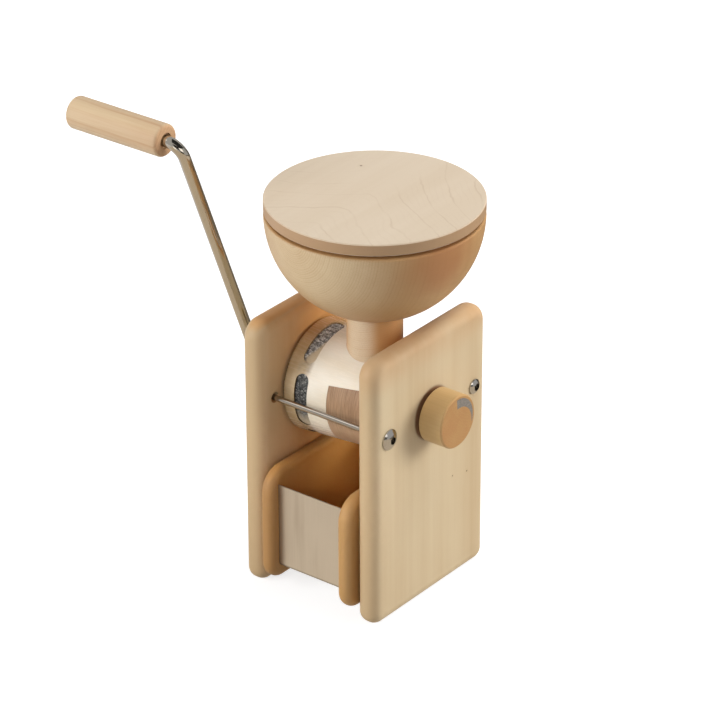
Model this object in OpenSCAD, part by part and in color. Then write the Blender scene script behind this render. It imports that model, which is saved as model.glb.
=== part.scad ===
// Hand grain mill: side panels, turned drum with millstones, hopper, crank, fineness knob and flour drawer.
// +X points to the knob side, -Y to the front and +Z up. The origin lies under the middle of the base board.

/* [Side panels] */
// Height of the panels
panel_h = 240; // [228:1:260]
// Depth of the panels, front to back
panel_depth = 150; // [140:1:180]
// Thickness of the panels
panel_t = 21; // [19:0.5:26]
// Distance between the panels' inner faces
panel_gap = 96; // [94:1:106]
// Rounding of the panels' edges
panel_edge_r = 9.5; // [3:0.5:10]
// Radius of the top corners, seen from the side
panel_corner_r = 16; // [11:0.5:40]
// Radius of the bottom corners, seen from the side
panel_foot_r = 10.5; // [10.5:0.5:24]

/* [Base and tie rods] */
// Thickness of the base board
base_t = 9.7; // [8:0.1:12]
// How far the base board lies behind the panels' front edges
base_front_setback = 39; // [30:1:50]
// How far the base board ends before the panels' rear edges
base_rear_setback = 12; // [11:1:20]
// How far the base board's seats stand out from the panels
seat_proud = 0.5; // [0.3:0.1:1]
// Diameter of the base dowels
base_dowel_d = 6; // [4:0.5:7]
// Length of the base dowels
base_dowel_len = 30; // [20:1:34]
// Distance between the two dowels of one side
base_dowel_pitch = 70; // [40:1:80]
// Distance between the front and the rear tie rod
tie_pitch = 114; // [112:1:120]
// Diameter of the tie rods
tie_rod_d = 5; // [4:0.5:6]
// Diameter of the front tie nuts' heads
tie_head_d = 18; // [14:0.5:20]
// Height of the front tie nuts' heads
tie_head_h = 4.5; // [3.5:0.1:6]
// Diameter of the rear tie nuts' heads
tie_rear_head_d = 13; // [12:0.5:18]
// Height of the rear tie nuts' heads
tie_rear_head_h = 3.8; // [3.5:0.1:5]
// Diameter of the tie nuts' sleeves
tie_sleeve_d = 8.8; // [8:0.1:10]
// Length of the tie nuts' sleeves
tie_sleeve_len = 15; // [10:0.5:17]
// Width across the flats of the hex sockets
tie_socket_af = 6; // [4:0.5:7]
// Depth of the hex sockets
tie_socket_depth = 3; // [2:0.1:3.4]

/* [Drum and stones] */
// Height of the mill's axis
axis_h = 169; // [167:1:178]
// Drum diameter at the crank side
drum_d_left = 98; // [94:0.5:102]
// Drum diameter at the knob side
drum_d_right = 84; // [83:0.5:94]
// Bore of the drum
drum_bore_d = 77.2; // [72:0.1:78]
// Wall of the drum at the crank side
drum_wall = 8.5; // [7:0.1:10]
// Height of the shoulder that seats the drum on the left panel
drum_seat_h = 1.5; // [1:0.1:3]
// Diameter of that shoulder
drum_seat_d = 80; // [60:1:86]
// Number of stone windows
window_count = 5; // [3:1:6]
// Width of a stone window
window_w = 12.3; // [8:0.1:13]
// Angle that a window spans around the drum
window_span = 61; // [30:1:61]
// Angle of the first window's middle above the front
window_turn = -3.5; // [-20:0.5:20]
// Depth of the stone below the drum's surface in a window
window_sink = 1; // [0.5:0.1:2]
// Left edge of the end-grain inlay
inlay_x = -4; // [-6:0.5:4]
// Width of the inlay
inlay_w = 40; // [30:1:44]
// Angle of the inlay's lower edge above the front
inlay_low_angle = -50; // [-60:1:-20]
// Angle of the inlay's upper left corner above the front
inlay_high_angle = 24; // [15:1:26]
// Slope angle of the inlay's upper edge along the drum
inlay_slope_angle = 8; // [0:0.5:10]
// Thickness of the inlay at its thin end
inlay_t = 2; // [1.5:0.1:2.1]
// Width of the flour outlet, front to back
outlet_w = 30; // [16:1:36]
// Thickness of the fixed stone
fixed_stone_t = 16; // [14.5:0.5:17]
// Eye of the fixed stone
fixed_eye_d = 24; // [20:1:30]
// Diameter of the running stone
running_stone_d = 66; // [58:0.5:67]
// Thickness of the running stone
running_stone_t = 9; // [7:0.5:10]
// Eye of the running stone
running_eye_d = 34; // [30:1:38]
// Gap between the stones at the middle setting
stone_gap = 0.9; // [0.9:0.1:1.5]

/* [Hopper] */
// Place of the hopper along the mill's axis
hopper_x = 10.9; // [9:0.1:12]
// Outer diameter of the bowl
bowl_d = 178; // [160:1:200]
// Wall of the bowl
bowl_wall = 9; // [8:0.5:12]
// Height of the bowl's lowest point above the panels
bowl_clear = 3.4; // [3:0.1:12]
// Rounding of the bowl's rim
rim_r = 2; // [1:0.1:2.5]
// Width of the ledge for the lid
ledge_w = 2.5; // [1.5:0.1:4]
// Depth of the ledge
ledge_depth = 4; // [3:0.1:6]
// Diameter of the lid
lid_d = 178; // [172:1:200]
// Thickness of the lid's disc
lid_t = 10; // [7:0.5:12]
// Gap between the lid's disc and the rim
lid_gap = 2.7; // [1:0.1:4]
// Outer diameter of the neck
neck_d = 46; // [44:0.5:50]
// Bore of the neck
neck_bore_d = 30; // [27:0.5:32]
// Diameter of the neck's tenon in the bowl
tenon_d = 38; // [36:0.5:41]
// Length of the neck's tenon
tenon_len = 6; // [4:0.5:7]
// Height of the neck's foot above the running stone
neck_foot_gap = 1.5; // [1:0.1:2]
// Diameter of the grain chute below the neck
chute_d = 27; // [22:0.5:27]

/* [Crank] */
// Diameter of the main shaft
shaft_d = 14; // [13:0.5:16]
// Diameter of the crank rod
rod_d = 10; // [8:0.5:11]
// Radius of the crank
crank_r = 234; // [160:1:260]
// Lean of the crank arm to the front
crank_tilt = 22; // [0:1:60]
// Distance from the left panel to the crank arm
crank_offset = 47; // [46:1:60]
// Radius of the rod's bends
bend_r = 14; // [11:0.5:15]
// Diameter of the grip
grip_d = 27.5; // [25:0.5:34]
// Length of the grip
grip_len = 95.5; // [70:0.5:120]
// Rounding of the grip's ends
grip_end_r = 3; // [1:0.1:3]
// Diameter of the grip's mouth around the rod
grip_mouth_d = 13.5; // [12:0.5:16]
// Depth of the grip's mouth
grip_mouth_depth = 2.5; // [1:0.1:4]
// Diameter of the plug in the grip's end
grip_plug_d = 20; // [17:0.5:21]
// Thickness of the plug
grip_plug_t = 5; // [3:0.1:8]
// Outer diameter of the crank coupling
coupling_d = 22; // [20:0.5:28]
// Length of the crank coupling
coupling_len = 28.5; // [26:0.5:29]
// Diameter of the coupling's set screws
coupling_screw_d = 6; // [4:0.5:6]

/* [Bearings and adjuster] */
// Outer diameter of the shaft's bearing bush
bearing_d = 20; // [18:0.5:24]
// Diameter of the bearing bush's flange
bearing_flange_d = 28; // [25:0.5:34]
// Thickness of both bush flanges
flange_t = 2; // [1.5:0.1:2.2]
// Diameter of the shaft's journal in the thrust sleeve
journal_d = 12; // [10:0.5:12.5]
// Outer diameter of the thrust sleeve
sleeve_d = 26; // [25:0.5:27]
// Length of the thrust sleeve
sleeve_len = 16; // [15:0.5:17]
// End wall of the thrust sleeve
sleeve_wall = 4; // [3:0.1:5]
// Thread diameter of the thrust sleeve
thread_d = 18; // [17.5:0.1:19]
// Length of the sleeve guide
guide_len = 19; // [18:0.5:19.5]
// Outer diameter of the sleeve guide
guide_d = 36; // [34.5:0.5:40]
// Diameter of the guide pin
guide_pin_d = 4; // [3:0.1:4.5]
// Travel of the thrust sleeve each way
sleeve_travel = 0.6; // [0.2:0.1:0.6]
// Diameter of the spindle's flange
spindle_flange_d = 25; // [22:0.5:27]
// Thickness of the spindle's flange
spindle_flange_t = 3.4; // [2.5:0.1:5]
// Diameter of the spindle in its bush
spindle_d = 12; // [10:0.5:14]
// Diameter of the spindle's end in the knob
spindle_end_d = 10; // [8:0.5:10]
// Outer diameter of the spindle bush
spindle_bush_d = 20; // [17:0.5:24]
// Diameter of the spindle bush's flange
spindle_bush_flange_d = 26; // [25:0.5:34]
// Diameter of the knob
knob_d = 46; // [44:0.5:54]
// Thickness of the knob
knob_t = 22.5; // [18:0.5:26]
// Gap between the knob and the right panel
knob_gap = 3.6; // [2.5:0.1:5]
// Depth of the spindle's hole in the knob
knob_hole_depth = 15; // [12:0.5:15]
// Chamfer of the knob's face
knob_chamfer = 1.2; // [0.5:0.1:1.5]
// Outer diameter of the knob's mark
mark_d = 40; // [30:0.5:40]
// Depth of the knob's mark
mark_t = 0.8; // [0.5:0.1:1.5]
// Diameter of the knob's set screw
knob_screw_d = 5; // [3:0.5:5]

/* [Drawer] */
// Thickness of the drawer's sides
side_t = 12.5; // [11:0.5:15]
// Height of the drawer's sides
side_h = 102; // [70:1:104]
// How far the sides stand out in front of the panels
side_front = 7; // [0:0.5:15]
// How far the sides end before the panels' rear edges
side_rear_setback = 9; // [4:1:30]
// Gap between a side and its panel
side_gap = 2; // [0.5:0.1:2.5]
// Rounding of the sides' edges
side_edge_r = 5.7; // [2:0.1:7]
// Radius of the sides' upper front corners
side_top_r = 22; // [8:0.5:30]
// Radius of the sides' other corners
side_low_r = 16; // [8:0.5:24]
// Thickness of the sheet steel
pan_t = 1; // [0.8:0.1:1.5]
// How far the sheet-steel front lies behind the sides' fronts
pan_setback = 10; // [8:0.5:20]
// Height of the drawer floor above the sides' lower edges
pan_floor_h = 12; // [8:0.5:16]
// Height of the sheet-steel front
pan_front_h = 77; // [50:1:77]
// Outer radius of the bend between front and floor
pan_bend_r = 4; // [2.5:0.1:8]
// Depth of the grooves that hold the sheet
groove_depth = 4; // [2:0.1:6]
// Thickness of the drawer's back
back_t = 12; // [8:0.5:16]
// How far the back lies before the sides' rear ends
back_setback = 10; // [8:0.5:20]
// How far the back's top lies below the sides' tops
back_drop = 8; // [0:0.5:20]
// Diameter of the drawer's dowels
drawer_dowel_d = 6; // [4:0.5:7]
// Length of the drawer's dowels
drawer_dowel_len = 18; // [14:1:20]

/* [Fits] */
// Clearance of glued and pressed pieces
fit_gap = 0.1; // [0.05:0.01:0.15]
// Running clearance of shafts in their bushes
run_gap = 0.05; // [0.03:0.01:0.1]
// Clearance of faces that slide past each other
slide_gap = 0.3; // [0.2:0.05:0.4]

/* [Hidden] */
$fn = 96;

// Colours
beech = [0.87, 0.76, 0.60];
drum_beech = [0.90, 0.83, 0.72];
end_grain = [0.63, 0.50, 0.38];
knob_beech = [0.71, 0.54, 0.36];
dowel_beech = [0.82, 0.69, 0.52];
stone_grey = [0.40, 0.38, 0.35];
mark_grey = [0.54, 0.53, 0.52];
steel = [0.75, 0.75, 0.76];
sheet_steel = [0.70, 0.66, 0.61];
brass = [0.78, 0.66, 0.38];

// Length by which a cutting solid passes the face that it opens
over = 1;

// Faces of the panels along X
left_in = -panel_gap / 2;
right_in = panel_gap / 2;
left_out = left_in - panel_t;
right_out = right_in + panel_t;
front_edge = -panel_depth / 2;
rear_edge = panel_depth / 2;
edge_flat = 1;
corner_step = 1;
edge_r = min(panel_edge_r, (panel_t - edge_flat) / 2);
corner_r = max(panel_corner_r, edge_r + corner_step);
foot_r = max(panel_foot_r, edge_r + corner_step);

// Base board
base_front = front_edge + base_front_setback;
base_rear = rear_edge - base_rear_setback;
base_mid = (base_front + base_rear) / 2;
seat_front = max(base_front, front_edge + foot_r);
seat_rear = min(base_rear, rear_edge - foot_r);

// Tie rods and their nuts
tie_hole_d = tie_sleeve_d + 2 * slide_gap;
tie_rod_inset = 2;
tie_rod_end = right_out - tie_rod_inset;
tie_bore_end = tie_rod_end + tie_rod_inset / 2;
tie_edge_h = 1;

// Stations along the drum's axis
drum_left = left_in + drum_seat_h;
stone_left = drum_left + drum_wall;
stone_face = stone_left + fixed_stone_t;
running_left = stone_face + stone_gap;
hub_left = running_left + running_stone_t;
hub_t = 5.5;
hub_rim = 2;
hub_boss_wall = 4;
hub_spokes = 4;
hub_spoke_angle = 30;
hub_right = hub_left + hub_t;
hub_clear = 1.6;
block_left = hub_right + hub_clear;
window_shift = 0.8;
window_x = (stone_left + stone_face) / 2 + window_shift;
window_pitch = 360 / window_count;
drum_chamfer = 1.2;
outlet_lap = 1;

// Taper of the drum, and its radius at a station along its axis
drum_taper = (drum_d_right - drum_d_left) / (right_in - drum_left);
function drum_r(x) = (drum_d_left + drum_taper * (x - drum_left)) / 2;

lug_r = drum_r(window_x) - window_sink;
window_root = 12;
window_depth_r = drum_bore_d / 2 - window_root;
inlay_inner_r = drum_r(inlay_x + inlay_w) - inlay_t;
shaft_passage_gap = 2;
shaft_passage_d = shaft_d + 2 * shaft_passage_gap;

// Feed block, thrust sleeve and shaft end
feed_bore_d = 34;
flight_gap = 1.5;
flight_t = 3;
flight_turns = 2;
drive_pin_d = 3.5;
drive_pin_reach = 3;
guide_left = right_in - guide_len;
sleeve_setback = 2;
sleeve_right = right_in - sleeve_setback;
sleeve_left = sleeve_right - sleeve_len;
ring_t = 1;
ring_clear = 0.8;
ring_d = thread_d - 2 * ring_clear;
ring_sink = 0.6;
groove_d = journal_d - 2 * ring_sink;
ring_land = 1;
ring_left = sleeve_left + sleeve_wall + slide_gap;
shaft_end = ring_left + ring_t + ring_land;
spindle_tip = shaft_end + sleeve_travel + slide_gap;
keyway_w = guide_pin_d + 2 * slide_gap;
keyway_depth = 2.4;
keyway_r = sleeve_d / 2 - keyway_depth;
pin_inner_r = keyway_r + slide_gap;
pin_anchor = 5;
pin_outer_r = guide_d / 2 + pin_anchor;
pin_x = sleeve_right - sleeve_len / 2;

// Adjusting spindle and knob
spindle_flange_left = right_in + slide_gap;
spindle_flange_right = spindle_flange_left + spindle_flange_t;
bush_left = spindle_flange_right + slide_gap;
flange_clear = 1.5;
flange_recess_d = spindle_flange_d + 2 * flange_clear;
knob_left = right_out + knob_gap;
knob_right = knob_left + knob_t;
knob_hole_end = knob_left + knob_hole_depth;
end_gap = 0.5;
spindle_end = knob_hole_end - end_gap;
knob_screw_x = knob_left + knob_hole_depth / 2;
knob_screw_len = 8;
knob_screw_low = -spindle_end_d / 2 - fit_gap - knob_screw_len;
mark_shift_share = 0.125;
mark_shift = mark_d * mark_shift_share;
mark_inner_share = 0.815;
mark_inner_d = mark_d * mark_inner_share;
mark_tail_angle = -65;
mark_cut_angle = 45;
mark_tip_angle = mark_tail_angle + mark_cut_angle;
mark_head_angle = 95;
mark_mid_angle = (mark_tip_angle + mark_head_angle) / 2;

// Crank
shaft_stub = 18.5;
shaft_start = left_out - shaft_stub;
coupling_gap = 1.5;
coupling_right = left_out - flange_t - coupling_gap;
coupling_left = coupling_right - coupling_len;
rod_start = shaft_start - end_gap;
arm_x = left_out - crank_offset;
grip_right = arm_x - bend_r - end_gap;
grip_left = grip_right - grip_len;
rod_inset = 5;
rod_end = grip_left + grip_plug_t + rod_inset;
grip_ring_w = 3;
grip_ring_d = rod_d + 2 * grip_ring_w;
rod_groove_d = rod_d - 2 * ring_sink;
grip_ring_left = rod_end + ring_land;
grip_pocket_end = grip_ring_left + ring_t + slide_gap;
coupling_screw_len = 7;
set_socket_af = 3;
set_socket_depth = 2.5;

// Station and seat radius of each of the coupling's set screws
coupling_seats = [
  [(coupling_right + shaft_start) / 2, shaft_d / 2 + fit_gap],
  [(coupling_left + rod_start) / 2, rod_d / 2 + fit_gap]];

// Hopper
bowl_r = bowl_d / 2;
rim_h = panel_h + bowl_clear + bowl_r;
bowl_seat_depth = 1;
bowl_seat_h = rim_h - sqrt(pow(bowl_r, 2) - pow(neck_d / 2, 2)) + bowl_seat_depth;
neck_foot_h = axis_h + running_stone_d / 2 + neck_foot_gap;
ledge_r = bowl_r - bowl_wall + ledge_w;
lid_step_h = ledge_depth + lid_gap;
lid_edge = 0.8;

// Drawer
side_left_x = left_in + side_gap + side_t / 2;
side_inner = panel_gap / 2 - side_gap - side_t;
side_front_y = front_edge - side_front;
side_rear_y = rear_edge - side_rear_setback;
side_low = base_t + slide_gap;
side_top = side_low + side_h;
side_r = min(side_edge_r, (side_t - edge_flat) / 2);
pan_front_y = side_front_y + pan_setback;
pan_floor_z = side_low + pan_floor_h;
back_rear_y = side_rear_y - back_setback;
back_front_y = back_rear_y - back_t;
back_low = pan_floor_z + pan_t + fit_gap;
back_top = side_top - back_drop;
drawer_dowel_y = (back_front_y + back_rear_y) / 2;

// Round bar along X between two stations
module bar_x(x0, x1, d) {
  translate([x0, 0, 0])
    rotate([0, 90, 0])
      cylinder(h = x1 - x0, d = d);
}

// Body of revolution about X, from a profile of radius and station
module turned_x() {
  rotate([0, 90, 0])
    rotate_extrude()
      children();
}

// Part of such a body between two angles above the front
module sector_x(a0, a1) {
  rotate([0, 90, 0])
    rotate([0, 0, -90 - a1])
      rotate_extrude(angle = a1 - a0)
        children();
}

// Rectangle in a profile of radius and station
module band(r0, r1, x0, x1) {
  translate([r0, x0])
    square([r1 - r0, x1 - x0]);
}

// Places a piece on the mill's axis
module on_axis() {
  translate([0, 0, axis_h])
    children();
}

// Turns an outline of the YZ plane into a plate, centred on a station along X
module plate_x(x_mid, t) {
  translate([x_mid, 0, 0])
    rotate([90, 0, 90])
      linear_extrude(height = t, center = true)
        children();
}

// Quarter-round edge on both faces of a board, in distance from the board's flat part and thickness
module edge_profile(t, r) {
  translate([0, r - t / 2])
    square([r, t - 2 * r]);
  intersection() {
    translate([0, -t / 2])
      square([r, t]);
    union() {
      translate([0, r - t / 2])
        circle(r);
      translate([0, t / 2 - r])
        circle(r);
    }
  }
}

// One rounded corner of a board, with its edge rounding turned around it
module board_corner(t, r, corner, turn) {
  rotate([0, 0, turn])
    rotate_extrude(angle = 90) {
      translate([0, -t / 2])
        square([corner - r, t]);
      translate([corner - r, 0])
        edge_profile(t, r);
    }
}

// One straight rounded edge of a board, from a start point along a direction
module board_edge(t, r, start, turn, length) {
  translate(start)
    rotate([0, 0, turn])
      rotate([90, 0, 0])
        translate([0, 0, -length])
          linear_extrude(height = length)
            edge_profile(t, r);
}

// Board in the YZ plane with all edges rounded by r; c holds the radii of its corners:
// front low, rear low, rear top, front top
module rounded_board(x_mid, t, y0, y1, z0, z1, r, c) {
  translate([x_mid, 0, 0])
    rotate([90, 0, 90]) {
      linear_extrude(height = t, center = true)
        polygon([
          [y0 + r, z0 + c[0]], [y0 + c[0], z0 + c[0]], [y0 + c[0], z0 + r],
          [y1 - c[1], z0 + r], [y1 - c[1], z0 + c[1]], [y1 - r, z0 + c[1]],
          [y1 - r, z1 - c[2]], [y1 - c[2], z1 - c[2]], [y1 - c[2], z1 - r],
          [y0 + c[3], z1 - r], [y0 + c[3], z1 - c[3]], [y0 + r, z1 - c[3]]]);
      translate([y0 + c[0], z0 + c[0], 0])
        board_corner(t, r, c[0], 180);
      translate([y1 - c[1], z0 + c[1], 0])
        board_corner(t, r, c[1], 270);
      translate([y1 - c[2], z1 - c[2], 0])
        board_corner(t, r, c[2], 0);
      translate([y0 + c[3], z1 - c[3], 0])
        board_corner(t, r, c[3], 90);
      board_edge(t, r, [y1 - r, z0 + c[1], 0], 0, z1 - c[2] - z0 - c[1]);
      board_edge(t, r, [y1 - c[2], z1 - r, 0], 90, y1 - c[2] - y0 - c[3]);
      board_edge(t, r, [y0 + r, z1 - c[3], 0], 180, z1 - c[3] - z0 - c[0]);
      board_edge(t, r, [y0 + c[0], z0 + r, 0], 270, y1 - c[1] - y0 - c[0]);
    }
}

// Panel on the knob side, without its holes; its rounding stops at the base board's seat
module panel_form() {
  rounded_board((right_in + right_out) / 2, panel_t, front_edge, rear_edge, 0, panel_h, edge_r,
    [foot_r, foot_r, corner_r, corner_r]);
  translate([right_in - seat_proud, seat_front, 0])
    cube([panel_t / 2 + seat_proud, seat_rear - seat_front, base_t]);
}

// Children at both tie rods
module at_ties() {
  for (side = [-1, 1])
    translate([0, side * tie_pitch / 2, axis_h])
      children();
}

// Children at both base dowels of one side, turned to run along X
module at_base_dowels() {
  for (side = [-1, 1])
    translate([0, base_mid + side * base_dowel_pitch / 2, base_t / 2])
      children();
}

// Dowels of the base, or their holes when a clearance is given
module base_dowel_set(gap) {
  at_base_dowels() {
    bar_x(left_in - base_dowel_len / 2 - gap, left_in + base_dowel_len / 2 + gap, base_dowel_d + 2 * gap);
    bar_x(right_in - base_dowel_len / 2 - gap, right_in + base_dowel_len / 2 + gap, base_dowel_d + 2 * gap);
  }
}

module left_panel() {
  color(beech)
    difference() {
      mirror([1, 0, 0])
        panel_form();
      on_axis()
        bar_x(left_out - over, left_in + over, bearing_d + 2 * fit_gap);
      at_ties()
        bar_x(left_out - over, left_in + over, tie_hole_d);
      base_dowel_set(fit_gap);
    }
}

module right_panel() {
  color(beech)
    difference() {
      panel_form();
      on_axis() {
        bar_x(right_in - over, right_out + over, spindle_bush_d + 2 * fit_gap);
        bar_x(right_in - over, bush_left, flange_recess_d);
      }
      at_ties()
        bar_x(right_in - over, right_out + over, tie_hole_d);
      base_dowel_set(fit_gap);
    }
}

module base_board() {
  color(beech)
    difference() {
      translate([left_in + seat_proud, base_front, 0])
        cube([panel_gap - 2 * seat_proud, base_rear - base_front, base_t]);
      base_dowel_set(fit_gap);
    }
}

module base_dowels() {
  color(dowel_beech)
    base_dowel_set(0);
}

// Tie rod in front (-1) or at the rear (1) of the drum
module tie_rod(side) {
  translate([0, side * tie_pitch / 2, axis_h])
    bar_x(-tie_rod_end, tie_rod_end, tie_rod_d);
}

module front_tie_rod() {
  color(steel)
    tie_rod(-1);
}

module rear_tie_rod() {
  color(steel)
    tie_rod(1);
}

// Button-head sleeve nut on the knob side: domed head, sleeve, rod bore and hex socket
module tie_nut(head_d, head_h) {
  head_top = right_out + head_h;
  dome_h = head_h - tie_edge_h;
  dome_r = (pow(head_d / 2, 2) + pow(dome_h, 2)) / (2 * dome_h);
  difference() {
    union() {
      turned_x()
        intersection() {
          translate([0, head_top - dome_r])
            circle(dome_r);
          band(0, head_d / 2, right_out, head_top);
        }
      bar_x(right_out - tie_sleeve_len, right_out + tie_edge_h, tie_sleeve_d);
    }
    bar_x(right_out - tie_sleeve_len - over, tie_bore_end, tie_rod_d + 2 * fit_gap);
    translate([head_top - tie_socket_depth, 0, 0])
      rotate([0, 90, 0])
        cylinder(h = tie_socket_depth + over, d = tie_socket_af / cos(30), $fn = 6);
  }
}

// Nuts of the knob side, the front one with the larger head
module tie_nut_pair() {
  translate([0, -tie_pitch / 2, axis_h])
    tie_nut(tie_head_d, tie_head_h);
  translate([0, tie_pitch / 2, axis_h])
    tie_nut(tie_rear_head_d, tie_rear_head_h);
}

module right_tie_nuts() {
  color(steel)
    tie_nut_pair();
}

module left_tie_nuts() {
  color(steel)
    mirror([1, 0, 0])
      tie_nut_pair();
}

// Outer form of the drum, tapered to the knob side
module drum_form() {
  turned_x()
    polygon([
      [0, drum_left], [drum_r(drum_left) - drum_chamfer, drum_left],
      [drum_r(drum_left + drum_chamfer), drum_left + drum_chamfer],
      [drum_r(right_in - drum_chamfer), right_in - drum_chamfer],
      [drum_r(right_in) - drum_chamfer, right_in], [0, right_in]]);
}

// Round-ended windows around the drum, milled straight in, from inside the bore to an outer radius
module windows(outer_r, gap) {
  r = window_w / 2 + gap;
  half = drum_r(window_x) * sin(window_span / 2) - window_w / 2;
  for (i = [0 : window_count - 1])
    intersection() {
      rotate([90 - window_turn - i * window_pitch, 0, 0])
        translate([window_x, 0, window_depth_r])
          linear_extrude(height = drum_d_left) {
            square([2 * r, 2 * half], center = true);
            for (end = [-1, 1])
              translate([0, end * half])
                circle(r);
          }
      bar_x(window_x - window_w, window_x + window_w, 2 * outer_r);
    }
}

// Space of the inlay, deeper or wider by a clearance, with its upper edge cut on a slope
module inlay_sector(gap) {
  spread = gap / inlay_inner_r * 180 / PI;
  difference() {
    sector_x(inlay_low_angle - spread, inlay_high_angle + 2 * inlay_slope_angle + spread)
      band(inlay_inner_r - gap, drum_d_left, inlay_x - gap, inlay_x + inlay_w + gap);
    translate([inlay_x, 0, 0])
      rotate([-inlay_high_angle, 0, 0])
        rotate([0, -inlay_slope_angle, 0])
          translate([-drum_d_left, -2 * drum_d_left, gap])
            cube([3 * drum_d_left, 2 * drum_d_left, drum_d_left]);
  }
}

// Vertical cut for the neck's foot
module neck_socket() {
  translate([hopper_x, 0, neck_foot_h])
    cylinder(h = panel_h, d = neck_d + 2 * fit_gap);
}

module drum_shell() {
  color(drum_beech)
    difference() {
      on_axis()
        difference() {
          union() {
            drum_form();
            bar_x(left_in, drum_left + over, drum_seat_d);
          }
          bar_x(stone_left, right_in + over, drum_bore_d);
          bar_x(left_in - over, stone_left + over, shaft_passage_d);
          windows(drum_d_left, 0);
          inlay_sector(fit_gap);
          translate([stone_face - outlet_lap, -outlet_w / 2, -drum_d_left])
            cube([hub_right - stone_face + outlet_lap, outlet_w, drum_d_left]);
        }
      neck_socket();
    }
}

module drum_inlay() {
  color(end_grain)
    on_axis()
      intersection() {
        drum_form();
        inlay_sector(0);
      }
}

module fixed_stone() {
  color(stone_grey)
    on_axis()
      difference() {
        union() {
          bar_x(stone_left, stone_face, drum_bore_d - 2 * fit_gap);
          windows(lug_r, -fit_gap);
        }
        bar_x(stone_left - over, stone_face + over, fixed_eye_d);
      }
}

module feed_block() {
  color(beech)
    difference() {
      on_axis()
        difference() {
          bar_x(block_left, right_in, drum_bore_d - 2 * fit_gap);
          bar_x(block_left - over, guide_left + over, feed_bore_d);
          bar_x(guide_left, right_in + over, guide_d + 2 * fit_gap);
          translate([hopper_x, 0, 0])
            cylinder(h = drum_bore_d, d = chute_d);
          guide_pin_form(fit_gap);
        }
      neck_socket();
    }
}

// Radial pin below the thrust sleeve, or its hole when a clearance is given
module guide_pin_form(gap) {
  translate([pin_x, 0, -pin_outer_r - gap])
    cylinder(h = pin_outer_r - pin_inner_r + gap, d = guide_pin_d + 2 * gap);
}

module guide_pin() {
  color(steel)
    on_axis()
      guide_pin_form(0);
}

module sleeve_guide() {
  color(brass)
    on_axis()
      difference() {
        bar_x(guide_left, right_in, guide_d);
        bar_x(guide_left - over, right_in + over, sleeve_d + 2 * run_gap);
        guide_pin_form(fit_gap);
      }
}

module left_bearing() {
  color(brass)
    on_axis()
      difference() {
        union() {
          bar_x(left_out - flange_t, left_in, bearing_d);
          bar_x(left_out - flange_t, left_out, bearing_flange_d);
        }
        bar_x(left_out - flange_t - over, left_in + over, shaft_d + 2 * run_gap);
      }
}

module spindle_bush() {
  color(brass)
    on_axis()
      difference() {
        union() {
          bar_x(bush_left, right_out + flange_t, spindle_bush_d);
          bar_x(right_out, right_out + flange_t, spindle_bush_flange_d);
        }
        bar_x(bush_left - over, right_out + flange_t + over, spindle_d + 2 * run_gap);
      }
}

module hopper_neck() {
  color(beech)
    translate([hopper_x, 0, 0])
      difference() {
        union() {
          translate([0, 0, neck_foot_h])
            cylinder(h = bowl_seat_h - neck_foot_h, d = neck_d);
          translate([0, 0, neck_foot_h])
            cylinder(h = bowl_seat_h - neck_foot_h + tenon_len, d = tenon_d);
        }
        translate([0, 0, neck_foot_h - over])
          cylinder(h = bowl_seat_h, d = neck_bore_d);
      }
}

// Section of the bowl: a half-round shell with a rounded rim and a ledge for the lid
module bowl_section() {
  difference() {
    union() {
      intersection() {
        circle(bowl_r);
        translate([0, -bowl_r])
          square([bowl_r - rim_r, bowl_r]);
      }
      intersection() {
        circle(bowl_r);
        translate([bowl_r - 2 * rim_r, -bowl_r])
          square([2 * rim_r, bowl_r - rim_r]);
      }
      translate([bowl_r - rim_r, -rim_r])
        circle(rim_r);
    }
    circle(bowl_r - bowl_wall);
    translate([-over, -ledge_depth])
      square([ledge_r + over, ledge_depth + over]);
    translate([-over, -bowl_r - over])
      square([tenon_d / 2 + fit_gap + over, bowl_r]);
    translate([-over, -bowl_r - over])
      square([neck_d / 2 + fit_gap + over, bowl_seat_h - rim_h + bowl_r + over]);
  }
}

module hopper_bowl() {
  color(beech)
    translate([hopper_x, 0, rim_h])
      rotate_extrude()
        bowl_section();
}

module lid() {
  step_r = ledge_r - slide_gap;
  color(beech)
    translate([hopper_x, 0, rim_h + lid_gap])
      rotate_extrude()
        polygon([
          [0, -lid_step_h], [step_r - lid_edge, -lid_step_h], [step_r, lid_edge - lid_step_h], [step_r, 0],
          [lid_d / 2 - lid_edge, 0], [lid_d / 2, lid_edge],
          [lid_d / 2, lid_t - lid_edge], [lid_d / 2 - lid_edge, lid_t], [0, lid_t]]);
}

// Outline of the bent sheet in the YZ plane, thicker all round by a clearance
module pan_outline(gap) {
  t = pan_t + 2 * gap;
  bend = pan_bend_r + gap;
  y0 = pan_front_y - gap;
  z0 = pan_floor_z - gap;
  translate([y0, z0 + bend])
    square([t, pan_front_h - pan_bend_r + gap]);
  translate([y0 + bend, z0])
    square([back_rear_y - pan_front_y - pan_bend_r + gap, t]);
  translate([y0 + bend, z0 + bend])
    intersection() {
      difference() {
        circle(bend);
        circle(bend - t);
      }
      translate([-bend, -bend])
        square(bend);
    }
}

// Dowels between the drawer's back and sides, or their holes when a clearance is given
module drawer_dowel_set(gap) {
  for (side = [-1, 1], level = [0.25, 0.75])
    translate([side * side_inner, drawer_dowel_y, back_low + level * (back_top - back_low)])
      bar_x(-drawer_dowel_len / 2 - gap, drawer_dowel_len / 2 + gap, drawer_dowel_d + 2 * gap);
}

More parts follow.
